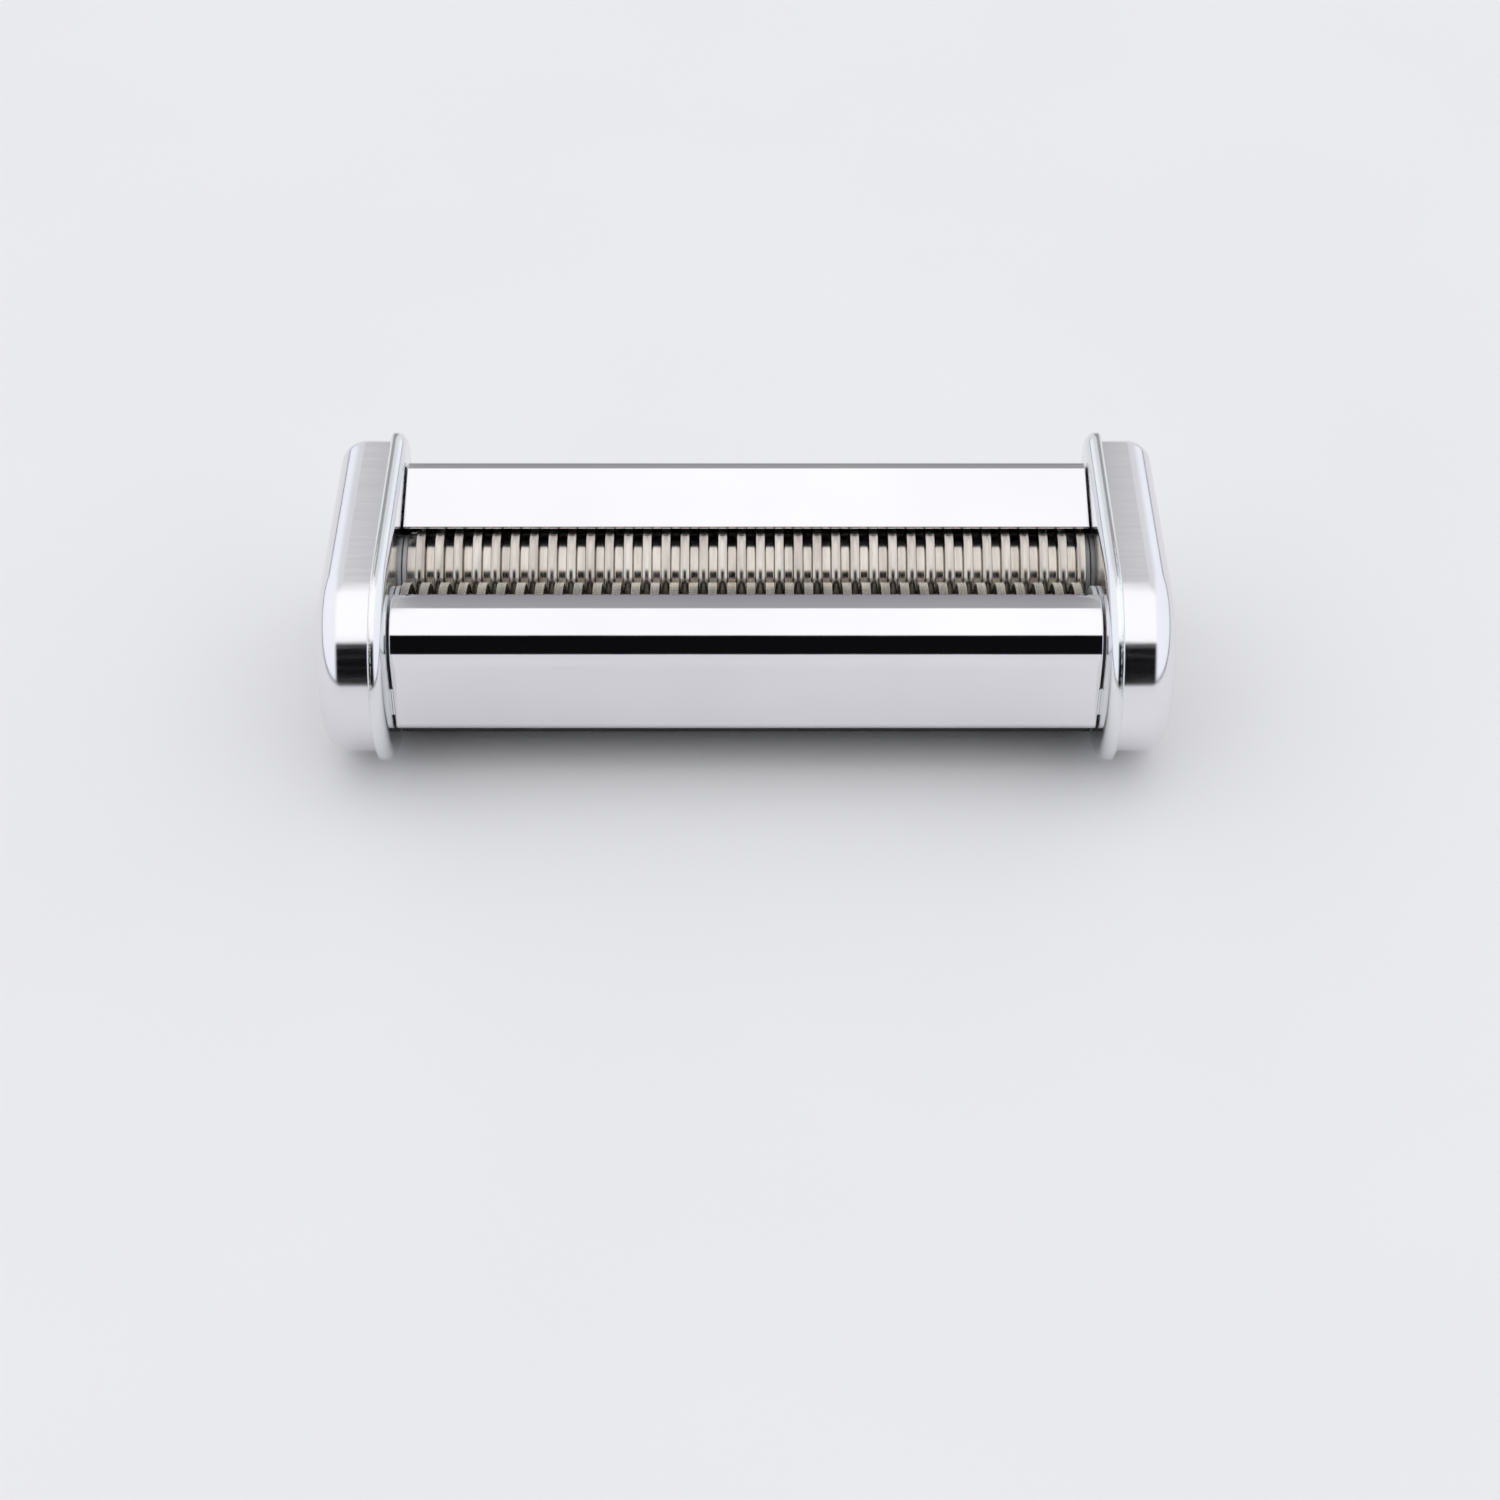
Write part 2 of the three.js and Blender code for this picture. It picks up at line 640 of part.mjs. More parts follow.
// Everything drawn as a section in (y, z) is placed in this turned frame.
const sections = new THREE.Group();
sections.rotation.set(Math.PI / 2, Math.PI / 2, 0);
head.add(sections);

// One end of the head, built on the right; the left one is its mirror image.
function addEnd(side, frontJournal) {
  const end = new THREE.Group();
  if (side === "left") end.scale.z = -1;
  end.add(piece(side + "_side_plate", sidePlate(frontJournal, journalRadius), chrome()));
  end.add(piece(side + "_end_cap", endCap(side === "right"), chrome()));
  for (const [name, place] of Object.entries(rods)) {
    end.add(piece(name + "_nut_" + side, nut(place), plainSteel(), place.y, place.z));
  }
  const frontBush = bush(frontJournal, journalRadius);
  const rearBush = bush(journalRadius, frontJournal);
  end.add(piece("front_bush_" + side, frontBush, bronze(), frontAxisY, rollerAxisHeight));
  end.add(piece("rear_bush_" + side, rearBush, bronze(), rearAxisY, rollerAxisHeight));
  const frontWasher = thrustWasher(frontJournal, frontWasherRadius);
  const rearWasher = thrustWasher(journalRadius, rearWasherRadius);
  end.add(piece("front_thrust_washer_" + side, frontWasher, nylon(), frontAxisY, rollerAxisHeight));
  end.add(piece("rear_thrust_washer_" + side, rearWasher, nylon(), rearAxisY, rollerAxisHeight));
  sections.add(end);
}

addEnd("left", journalRadius);
addEnd("right", driveJournalRadius);

sections.add(piece("front_cover", cover(frontCoverSection, coverTabs.front, false), chrome()));
sections.add(piece("rear_cover", cover(rearCoverSection, coverTabs.rear, true), chrome()));
for (const [name, place] of Object.entries(rods)) {
  sections.add(piece(name, rod(place), plainSteel(), place.y, place.z));
}

const combs = new THREE.Group();
combs.add(piece("front_comb", comb(), combPlastic()));
sections.add(combs);
const turnedCombs = new THREE.Group();
turnedCombs.rotation.y = Math.PI;
turnedCombs.add(piece("rear_comb", comb(), combPlastic()));
sections.add(turnedCombs);

const gearClipPlace = -gearClipStart - clipThickness;
const drive = new THREE.Group();
drive.position.set(frontAxisY, rollerAxisHeight, 0);
drive.add(piece("drive_cutter_roller", driveRoller(), cutterSteel()));
drive.add(piece("drive_gear", gear(), plainSteel()));
drive.add(piece("drive_gear_clip", clip(gearSeatRadius), plainSteel(), 0, 0, gearClipPlace));
sections.add(drive);

const driven = new THREE.Group();
driven.position.set(rearAxisY, rollerAxisHeight, 0);
driven.add(piece("driven_cutter_roller", drivenRoller(), cutterSteel()));
driven.add(piece("driven_gear", gear(), plainSteel()));
driven.add(piece("driven_gear_clip", clip(gearSeatRadius), plainSteel(), 0, 0, gearClipPlace));
driven.add(piece("driven_roller_clip", clip(journalRadius), plainSteel(), 0, 0, drivenClipStart));
sections.add(driven);

// The rails stand upright behind the rear cover, each on two rivets.
for (const [side, x] of [["left", -railOffset], ["right", railOffset]]) {
  const mounting = new THREE.Group();
  mounting.position.set(x, rearFaceY + seatGap, 0);
  const channel = new THREE.Mesh(rail(), plainSteel());
  channel.name = side + "_mounting_rail";
  channel.position.z = railBottom;
  mounting.add(channel);
  rivetPlaces.forEach((z, i) => {
    const fastener = new THREE.Mesh(rivet(), plainSteel());
    fastener.name = side + "_rail_rivet_" + ["lower", "upper"][i];
    fastener.position.set(0, -2 * seatGap - coverSheet, z);
    mounting.add(fastener);
  });
  head.add(mounting);
}

export default head;
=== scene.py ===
import math

import bmesh
import bpy
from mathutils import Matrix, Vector, noise


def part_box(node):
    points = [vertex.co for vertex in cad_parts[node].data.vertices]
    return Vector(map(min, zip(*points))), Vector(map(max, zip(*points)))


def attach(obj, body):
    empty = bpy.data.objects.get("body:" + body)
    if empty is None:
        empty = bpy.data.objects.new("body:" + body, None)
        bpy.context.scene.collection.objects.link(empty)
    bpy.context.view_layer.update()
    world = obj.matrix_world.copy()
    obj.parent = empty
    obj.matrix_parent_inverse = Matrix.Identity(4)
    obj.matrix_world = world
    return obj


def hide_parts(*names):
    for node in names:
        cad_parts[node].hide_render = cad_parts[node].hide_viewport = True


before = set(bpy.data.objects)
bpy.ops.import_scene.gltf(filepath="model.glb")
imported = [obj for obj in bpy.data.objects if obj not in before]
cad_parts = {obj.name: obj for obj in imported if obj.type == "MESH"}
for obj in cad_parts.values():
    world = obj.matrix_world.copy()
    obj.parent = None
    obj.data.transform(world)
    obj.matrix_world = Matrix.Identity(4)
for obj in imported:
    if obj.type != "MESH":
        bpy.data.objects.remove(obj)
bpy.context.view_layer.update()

# Looks of a pasta cutter head. Lengths named here are in millimetres; Blender works in metres.
MM = 0.001

# Covers
COVER_SHEET = 0.8
COVER_END_GAP = 0.3
CROWN_RADIUS = 9.5
LIP_SLOPE = 20
LIP_LENGTH = 0.7
FRONT_FLANGE = 4.2
TOP_SLOPE = 16.7
TOP_BEND = 4
REAR_FLANGE = 8
BOTTOM_BEND = 2.5
TAB_WIDTH = 7
FRONT_TAB_DROP = 4
TAB_GAP = 0.3
TAB_ROOT = 1

# Side plates, end caps and the seams between them. FLAT_INSET is where a flat face begins.
REAR_CORNER = 7.8
LEAST_CORNER = 0.05
PLATE_SHEET = 1.5
PLATE_ROUNDING = 2.6
CAP_INSET = 1.9
CAP_SHEET = 1.2
CAP_FILLET = 5.4
CRANK_HOLE = 8
FLAT_INSET = 3
SEAM_RADIUS = 0.36
SEAM_SWELL = 0.3
SEAM_SINK = 0.34
SEAM_STEP = 0.28
SEAM_SIDES = 12

# Rollers and their shafts
RIDGES = 36
RIDGE_PITCH = 4
RIDGE_WIDTH = 1.9
RIDGE_HEIGHT = 2.4
KNURL_RIBS = 110
JOURNAL = 5
DRIVE_JOURNAL = 6.5
GEAR_SEAT = 4
SHAFT_FLAT = 3
CLIP_GROOVE = 0.8
SOCKET_FLATS = 7.6
SOCKET_DEPTH = 13

# Small pieces, gears and combs
BUSH_WALL = 2
BUSH_FLANGE = 1.2
BORE_GAP = 0.15
TIE_STUD = 2
RIVET_SHANK = 1.5
RIVET_DOME = 0.9
RAIL_SHEET = 1.2
RAIL_LIP = 3
GEAR_TEETH = 17
GEAR_MODULE = 1.25
GEAR_ADDENDUM = 0.92
GEAR_DEDENDUM = 1.25
GEAR_BACKLASH = 0.12
PRESSURE_ANGLE = 20
COMB_BAR = 7
FINGER_WIDTH = 1.5
FINGER_ROOT = -100
FINGER_TIP = -25
FINGER_TIP_THICKNESS = 0.8
FINGER_DEPTH = 3
FINGER_GAP = 0.3

# Fineness of round pieces, and how far a cutter reaches past the faces that it cuts
ROUND_STEPS = 96
DRILL_STEPS = 64
ROD_STEPS = 48
CUT_PAST = 1

# Stage: the camera's place is in metres and its tilt in degrees
FLOOR_REACH = 9000
FLOOR_DROP = 0.1
CAMERA_PLACE = (0.0008, -0.4798, 0.4169)
CAMERA_TILT = 47.825
CAMERA_LENS = 69.95


# ---- Measures taken from the parts in model.glb ----

def low(node):
    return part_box(node)[0] / MM


def high(node):
    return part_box(node)[1] / MM


def middle(node):
    return (low(node) + high(node)) / 2


def half_height(node):
    return (high(node).z - low(node).z) / 2


INNER_FACE = low("right_side_plate").x
RIM_EDGE = high("right_side_plate").x
PAN_FLOOR = INNER_FACE + PLATE_SHEET
CAP_FACE = high("right_end_cap").x
CAP_MOUTH = low("right_end_cap").x
PLATE_FRONT = low("right_side_plate").y
PLATE_REAR = high("right_side_plate").y
HEIGHT = high("right_side_plate").z
AXIS_Z = middle("driven_gear").z
FRONT_AXIS_Y = middle("drive_cutter_roller").y
REAR_AXIS_Y = -FRONT_AXIS_Y
RIDGE_RADIUS = high("drive_cutter_roller").z - AXIS_Z
GROOVE_RADIUS = RIDGE_RADIUS - RIDGE_HEIGHT
ROLLER_HALF = RIDGES * RIDGE_PITCH / 2


# ---- Mesh helpers ----

def on_circle(cx, cy, radius, degrees):
    angle = math.radians(degrees)
    return (cx + radius * math.cos(angle), cy + radius * math.sin(angle))


def arc(cx, cy, radius, start, end, steps):
    return [on_circle(cx, cy, radius, start + (end - start) * i / steps) for i in range(steps + 1)]


def rectangle(y, z, half_y, half_z):
    """The corners of a (y, z) rectangle round its middle."""
    return [(y - half_y, z - half_z), (y + half_y, z - half_z),
            (y + half_y, z + half_z), (y - half_y, z + half_z)]


def rounded(corners, radius, steps=4):
    """A closed outline with filleted corners. A radius of 0 leaves a corner sharp; a list has one each."""
    count = len(corners)
    radii = radius if isinstance(radius, (list, tuple)) else [radius] * count
    points = []
    for i, corner in enumerate(corners):
        here = Vector(corner)
        back = (Vector(corners[i - 1]) - here).normalized()
        ahead = (Vector(corners[(i + 1) % count]) - here).normalized()
        half = back.angle(ahead) / 2
        if not radii[i]:
            points.append(tuple(here))
            continue
        reach = radii[i] / math.tan(half)
        centre = here + (back + ahead).normalized() * (radii[i] / math.sin(half))
        first = here + back * reach - centre
        last = here + ahead * reach - centre
        for s in range(steps + 1):
            way = first.lerp(last, s / steps)
            points.append(tuple(centre + way.normalized() * radii[i]))
    return points


def build(name, verts, faces):
    """A new object from points in millimetres, with doubled points joined and faces turned out."""
    mesh = bpy.data.meshes.new(name)
    mesh.from_pydata([tuple(Vector(v) * MM) for v in verts], [], faces)
    obj = bpy.data.objects.new(name, mesh)
    bpy.context.scene.collection.objects.link(obj)
    grid = bmesh.new()
    grid.from_mesh(mesh)
    bmesh.ops.remove_doubles(grid, verts=grid.verts, dist=1e-7)
    bmesh.ops.recalc_face_normals(grid, faces=grid.faces)
    grid.to_mesh(mesh)
    grid.free()
    return obj


def ring_faces(rings, closed=False, first=0):
    """Faces between rings of equal count, numbered from first; open ends get a flat face."""
    count = len(rings[0])
    last = first + (len(rings) - 1) * count
    faces = []
    spans = len(rings) if closed else len(rings) - 1
    for r in range(spans):
        a = first + r * count
        b = first + ((r + 1) % len(rings)) * count
        for i in range(count):
            j = (i + 1) % count
            faces.append((a + i, a + j, b + j, b + i))
    if not closed:
        faces.append(tuple(range(first, first + count)))
        faces.append(tuple(range(last, last + count)))
    return faces


def loft(name, rings, closed=False):
    return build(name, [v for ring in rings for v in ring], ring_faces(rings, closed))


def along_x(name, section, start, end):
    """A (y, z) section carried along X."""
    return loft(name, [[(x, y, z) for y, z in section] for x in (start, end)])


def circle(x, radius, steps=ROUND_STEPS, flat=None):
    """A ring round the X axis; flat cuts it off at that height above the axis."""
    points = []
    for y, z in arc(0, 0, radius, 0, 360 - 360 / steps, steps - 1):
        points.append((x, y, z if flat is None else min(z, flat)))
    return points


def hexagon(x, flats):
    """A six-sided ring with as many points as a circle."""
    points = []
    for i in range(ROUND_STEPS):
        angle = 2 * math.pi * i / ROUND_STEPS
        turn = (angle % (math.pi / 3)) - math.pi / 6
        radius = flats / 2 / math.cos(turn)
        points.append((x, radius * math.cos(angle), radius * math.sin(angle)))
    return points


def lathe(name, profile, closed=False, steps=ROUND_STEPS):
    """A turned piece from rows of (x, radius)."""
    return loft(name, [circle(x, radius, steps) for x, radius in profile], closed)


def place(obj, y, z):
    obj.location = Vector((0, y, z)) * MM


def centre_on(obj, node):
    """Moves a piece made round the X axis to its node's middle."""
    place(obj, middle(node).y, middle(node).z)


def dress(obj, material, body, nodes=(), bevel=0.0, steps=3, sharp=38):
    """Rounds the edges, shades smoothly, gives the material and fixes the piece to its body."""
    mesh = obj.data
    mesh.materials.clear()
    mesh.materials.append(material)
    mesh.shade_smooth()
    mesh.set_sharp_from_angle(angle=math.radians(sharp))
    if bevel:
        edge = obj.modifiers.new("edges", "BEVEL")
        edge.width = bevel * MM
        edge.segments = steps
        edge.limit_method = "ANGLE"
        edge.angle_limit = math.radians(sharp)
        edge.use_clamp_overlap = True
    normals = obj.modifiers.new("normals", "WEIGHTED_NORMAL")
    normals.keep_sharp = True
    normals.weight = 60
    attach(obj, body)
    if nodes:
        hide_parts(*nodes)


def cut(obj, cutters):
    """Takes the cutters away from the piece and removes them."""
    for cutter in cutters:
        step = obj.modifiers.new("cut", "BOOLEAN")
        step.operation = "DIFFERENCE"
        step.solver = "EXACT"
        step.object = cutter
    graph = bpy.context.evaluated_depsgraph_get()
    done = bpy.data.meshes.new_from_object(obj.evaluated_get(graph))
    obj.modifiers.clear()
    obj.data = done
    for cutter in cutters:
        bpy.data.objects.remove(cutter)


def drill(y, z, radius, start, end):
    """A cutter for a round hole along X."""
    hole = loft("drill", [circle(start, radius, DRILL_STEPS), circle(end, radius, DRILL_STEPS)])
    place(hole, y, z)
    bpy.context.view_layer.update()
    return hole


# ---- Material helpers ----

class Tree:
    """Short names for the nodes of a material or of the world."""

    def __init__(self, owner):
        owner.use_nodes = True
        self.nodes = owner.node_tree.nodes
        self.links = owner.node_tree.links

    def link(self, start, end):
        self.links.new(start, end)

    def feed(self, socket, value):
        """Sets a socket to a constant, or links it."""
        if isinstance(value, (int, float, tuple)):
            socket.default_value = value
        else:
            self.link(value, socket)

    def ramp(self, value, stops):
        node = self.nodes.new("ShaderNodeValToRGB")
        marks = node.color_ramp.elements
        while len(marks) < len(stops):
            marks.new(0.5)
        for mark, (position, color) in zip(marks, stops):
            mark.position = position
            mark.color = (*color, 1)
        self.link(value, node.inputs["Fac"])
        return node.outputs["Color"]

    def calc(self, operation, first, second=None):
        node = self.nodes.new("ShaderNodeMath")
        node.operation = operation
        self.feed(node.inputs[0], first)
        if second is not None:
            self.feed(node.inputs[1], second)
        return node.outputs["Value"]

    def mix(self, factor, first, second):
        node = self.nodes.new("ShaderNodeMix")
        node.data_type = "RGBA"
        self.link(factor, node.inputs["Factor"])
        self.feed(node.inputs["A"], first)
        self.feed(node.inputs["B"], second)
        return node.outputs["Result"]

    def axes(self, vector):
        node = self.nodes.new("ShaderNodeSeparateXYZ")
        self.link(vector, node.inputs["Vector"])
        return node.outputs["X"], node.outputs["Y"], node.outputs["Z"]


class Nodes(Tree):
    """The nodes of one material, placed on the piece's own coordinates."""

    def __init__(self, name):
        self.material = bpy.data.materials.new(name)
        super().__init__(self.material)
        self.shader = self.nodes["Principled BSDF"]
        self.place = self.nodes.new("ShaderNodeTexCoord").outputs["Object"]

    def stretched(self, scale):
        node = self.nodes.new("ShaderNodeMapping")
        node.inputs["Scale"].default_value = scale
        self.link(self.place, node.inputs["Vector"])
        return node.outputs["Vector"]

    def noise(self, scale, stretch=(1, 1, 1), detail=3.0, roughness=0.55):
        node = self.nodes.new("ShaderNodeTexNoise")
        node.inputs["Scale"].default_value = scale
        node.inputs["Detail"].default_value = detail
        node.inputs["Roughness"].default_value = roughness
        self.link(self.stretched(stretch), node.inputs["Vector"])
        return node.outputs["Fac"]

    def ranged(self, value, least, most, start=0.3, end=0.7):
        node = self.nodes.new("ShaderNodeMapRange")
        node.inputs["From Min"].default_value = start
        node.inputs["From Max"].default_value = end
        node.inputs["To Min"].default_value = least
        node.inputs["To Max"].default_value = most
        self.link(value, node.inputs["Value"])
        return node.outputs["Result"]

    def tint(self, value, dark, light):
        """A base colour that runs from dark to light with the value. Returns the colour."""
        color = self.ramp(value, [(0.3, dark), (0.7, light)])
        self.link(color, self.shader.inputs["Base Color"])
        return color

    def roughen(self, value):
        self.link(value, self.shader.inputs["Roughness"])

    def bump(self, height, distance, under=None):
        """A bump that deep in millimetres, on top of another bump's normal if one is given."""
        node = self.nodes.new("ShaderNodeBump")
        node.inputs["Distance"].default_value = distance * MM
        node.inputs["Strength"].default_value = 1.0
        self.link(height, node.inputs["Height"])
        if under is not None:
            self.link(under, node.inputs["Normal"])
        self.link(node.outputs["Normal"], self.shader.inputs["Normal"])
        return node.outputs["Normal"]

    def metal(self, anisotropic=0.0):
        self.shader.inputs["Metallic"].default_value = 1.0
        self.shader.inputs["Anisotropic"].default_value = anisotropic


def chrome(name, rough_low, rough_high, wave, grain):
    """Bright plating: almost even colour, faint wiping marks and a very slight waviness."""
    n = Nodes(name)
    n.metal()
    n.tint(n.noise(18, detail=2.0), (0.785, 0.775, 0.805), (0.84, 0.832, 0.86))
    wipes = n.noise(900, (0.06, 1, 1), detail=4.0)
    n.roughen(n.ranged(wipes, rough_low, rough_high))
    waves = n.bump(n.noise(22, (0.35, 1, 1), detail=1.0), wave)
    n.bump(wipes, grain, under=waves)
    return n.material


def crimped_chrome():
    """The side plates' plating: satin on the rim, and rough where the cap is crimped in."""
    n = Nodes("plate_chrome")
    n.metal()
    n.tint(n.noise(25, detail=2.0), (0.76, 0.77, 0.79), (0.84, 0.845, 0.86))
    x, y, _ = n.axes(n.place)
    # Full at the rim's outer edge and in front of y = -12, and faint from y = 0 to the back
    outer = n.ranged(n.calc("ABSOLUTE", x), 0.0, 1.0, (RIM_EDGE - 0.8) * MM, (RIM_EDGE - 0.3) * MM)
    front = n.ranged(y, 1.0, 0.15, -12 * MM, 0.0)
    crimp = n.calc("MULTIPLY", outer, front)
    satin = n.ranged(n.noise(1400, detail=4.0), 0.09, 0.2)
    n.roughen(n.calc("ADD", satin, n.calc("MULTIPLY", crimp, 0.05)))
    pits = n.calc("MULTIPLY", n.noise(750, (0.6, 1, 1), detail=5.0, roughness=0.7), crimp)
    rough = n.bump(pits, 0.2)
    n.bump(n.noise(30, detail=1.0), 0.12, under=rough)
    return n.material


def turned_steel(name, dark, light, rough):
    """Warm ground steel with fine marks round the axis. Returns its nodes, with their tone and lines."""
    n = Nodes(name)
    n.metal(0.35)
    n.tone = n.tint(n.noise(60, (8, 1, 1), detail=4.0), dark, light)
    marks = n.noise(90, (60, 1, 1), detail=5.0)
    n.roughen(n.ranged(marks, rough, rough + 0.12))
    n.lines = n.bump(marks, 0.03)
    return n


def knurled_steel_painted_shade():
    """The drive roller: bright ribbed ridge tops, and painted shade in the grooves, whose base colour is
    near black.
    """
    n = turned_steel("knurled_steel_painted_shade", (0.50, 0.47, 0.43), (0.72, 0.68, 0.62), 0.2)
    _, y, z = n.axes(n.place)
    reach = n.calc("SQRT", n.calc("ADD", n.calc("MULTIPLY", y, y), n.calc("MULTIPLY", z, z)))
    top = n.ranged(reach, 0.0, 1.0, (RIDGE_RADIUS - 0.5) * MM, (RIDGE_RADIUS - 0.15) * MM)
    # Painted shade: below the ridge tops the base colour is near black, standing in for the shade in the
    # grooves.
    groove = n.ramp(n.noise(200, detail=3.0), [(0.3, (0.10, 0.09, 0.08)), (0.7, (0.17, 0.155, 0.14))])
    n.link(n.mix(top, groove, n.tone), n.shader.inputs["Base Color"])
    ribs = n.calc("SINE", n.calc("MULTIPLY", n.calc("ARCTAN2", y, z), KNURL_RIBS))
    n.bump(n.calc("MULTIPLY", ribs, top), 0.2, under=n.lines)
    return n.material


def plain_metal(name, dark, light, rough_low, rough_high, scale, grain):
    """Bare or coated metal with a fine even grain."""
    n = Nodes(name)
    n.metal()
    n.tint(n.noise(scale, detail=5.0), dark, light)
    fine = n.noise(scale * 9, detail=4.0)
    n.roughen(n.ranged(fine, rough_low, rough_high))
    n.bump(fine, grain)
    return n.material


def moulded(name, dark, light, rough_low, rough_high, grain):
    """Matt moulded plastic."""
    n = Nodes(name)
    n.shader.inputs["Specular IOR Level"].default_value = 0.45
    n.tint(n.noise(140, detail=3.0), dark, light)
    fine = n.noise(1500, detail=3.0)
    n.roughen(n.ranged(fine, rough_low, rough_high))
    n.bump(fine, grain)
    return n.material


COVER_CHROME = chrome("cover_chrome", 0.025, 0.06, 0.05, 0.002)
CAP_CHROME = chrome("cap_chrome", 0.10, 0.17, 0.2, 0.004)
PLATE_CHROME = crimped_chrome()
DRIVE_STEEL = knurled_steel_painted_shade()
DRIVEN_STEEL = turned_steel("ground_steel", (0.50, 0.455, 0.41), (0.71, 0.665, 0.61), 0.13).material
ZINC = plain_metal("zinc_steel", (0.50, 0.51, 0.53), (0.64, 0.65, 0.66), 0.24, 0.42, 160, 0.006)
RAIL_STEEL = plain_metal("rail_steel", (0.55, 0.56, 0.58), (0.70, 0.71, 0.73), 0.16, 0.30, 120, 0.005)
BRONZE = plain_metal("sintered_bronze", (0.36, 0.24, 0.11), (0.52, 0.37, 0.18), 0.3, 0.5, 700, 0.04)
NYLON = moulded("nylon", (0.60, 0.61, 0.62), (0.70, 0.71, 0.72), 0.38, 0.5, 0.01)
BLACK_PLASTIC = moulded("comb_plastic", (0.018, 0.018, 0.019), (0.032, 0.032, 0.034), 0.42, 0.6, 0.02)


# ---- Covers ----

def front_cover_section(offset):
    """The (y, z) line from the bottom flange over the crown to the lip, set in from the outer face."""
    lo, hi = low("front_cover"), high("front_cover")
    crown_y = lo.y + CROWN_RADIUS
    crown_z = hi.z - CROWN_RADIUS
    crown = arc(crown_y, crown_z, CROWN_RADIUS - offset, 180, 90 - LIP_SLOPE, 48)
    slope = math.radians(LIP_SLOPE)
    last = crown[-1]
    lip = (last[0] + LIP_LENGTH * math.cos(slope), last[1] - LIP_LENGTH * math.sin(slope))
    bottom = arc(lo.y + BOTTOM_BEND, lo.z + BOTTOM_BEND, BOTTOM_BEND - offset, 270, 180, 16)
    flange = (lo.y + FRONT_FLANGE, lo.z + offset)
    return [flange] + bottom + crown + [lip]


def rear_cover_section(offset):
    """The (y, z) line from the slot's edge over the top bend to the bottom flange, set in likewise."""
    lo, hi = low("rear_cover"), high("rear_cover")
    slope = math.radians(TOP_SLOPE)
    centre_y = hi.y - TOP_BEND
    centre_z = hi.z - TOP_BEND
    edge_z = centre_z + TOP_BEND / math.cos(slope) - (centre_y - lo.y) * math.tan(slope)
    edge = (lo.y + offset * math.sin(slope), edge_z - offset * math.cos(slope))
    top = arc(centre_y, centre_z, TOP_BEND - offset, 90 + TOP_SLOPE, 0, 24)
    bottom = arc(hi.y - BOTTOM_BEND, lo.z + BOTTOM_BEND, BOTTOM_BEND - offset, 0, -90, 16)
    flange = (hi.y - REAR_FLANGE, lo.z + offset)
    return [edge] + top + bottom + [flange]


def cover(name, section, tab_y, tab_z):
    """A bent sheet between the plates, with a tab into each of them."""
    half = INNER_FACE - COVER_END_GAP
    outline = section(0) + section(COVER_SHEET)[::-1]
    sheet = along_x(name + "_sheet", outline, -half, half)
    dress(sheet, COVER_CHROME, "head", [name], 0.22)
    for side, sign in (("left", -1), ("right", 1)):
        # A little thinner than the sheet, so that no faces coincide
        corners = rectangle(tab_y, tab_z, COVER_SHEET * 0.45, TAB_WIDTH / 2)
        tab = along_x(name + "_tab_" + side, corners, sign * (half - TAB_ROOT), sign * high(name).x)
        dress(tab, COVER_CHROME, "head", [name], 0.15)


FRONT_TAB = (low("front_cover").y + COVER_SHEET / 2, AXIS_Z - FRONT_TAB_DROP)
REAR_TAB = (high("rear_cover").y - COVER_SHEET / 2, AXIS_Z)
cover("front_cover", front_cover_section, *FRONT_TAB)
cover("rear_cover", rear_cover_section, *REAR_TAB)


# ---- Side plates and end caps ----

def side_outline(inset):
    """The side's (y, z) outline, set in that far: a half circle in front and two corners behind."""
    nose = HEIGHT / 2
    corner = max(REAR_CORNER - inset, LEAST_CORNER)
    corner_y = PLATE_REAR - REAR_CORNER
    points = arc(PLATE_FRONT + nose, nose, nose - inset, 90, 270, 72)
    points += arc(corner_y, REAR_CORNER, corner, -90, 0, 18)
    points += arc(corner_y, HEIGHT - REAR_CORNER, corner, 0, 90, 18)
    return points


def pan(name, profile, side):
    """Rows of (x, inset) of the side's outline, from one flat face round the open edge to the other."""
    rings = []
    for x, inset in profile:
        rings.append([(side * x, y, z) for y, z in side_outline(inset)])
    return loft(name, rings)


def rod_places():
    """The (y, z, radius) of each rod's end."""
    spots = []
    for name in ("upper_tie_rod", "lower_tie_rod"):
        spots.append((middle(name).y, middle(name).z, TIE_STUD))
    for name in ("front_comb_rod", "rear_comb_rod"):
        spots.append((middle(name).y, middle(name).z, half_height(name)))
    return spots


def plate_cutters(side, front_journal):
    """The holes for the bushes and rods, and the slots for the covers' tabs."""
    start = side * (INNER_FACE - CUT_PAST)
    end = side * (PAN_FLOOR + CUT_PAST)
    cutters = [drill(FRONT_AXIS_Y, AXIS_Z, front_journal + BUSH_WALL + BORE_GAP, start, end),
               drill(REAR_AXIS_Y, AXIS_Z, JOURNAL + BUSH_WALL + BORE_GAP, start, end)]
    for y, z, radius in rod_places():
        cutters.append(drill(y, z, radius + BORE_GAP, start, end))
    for y, z in (FRONT_TAB, REAR_TAB):
        corners = rectangle(y, z, COVER_SHEET / 2 + TAB_GAP, TAB_WIDTH / 2 + TAB_GAP)
        cutters.append(along_x("slot", rounded(corners, 0.3), start, end))
    return cutters


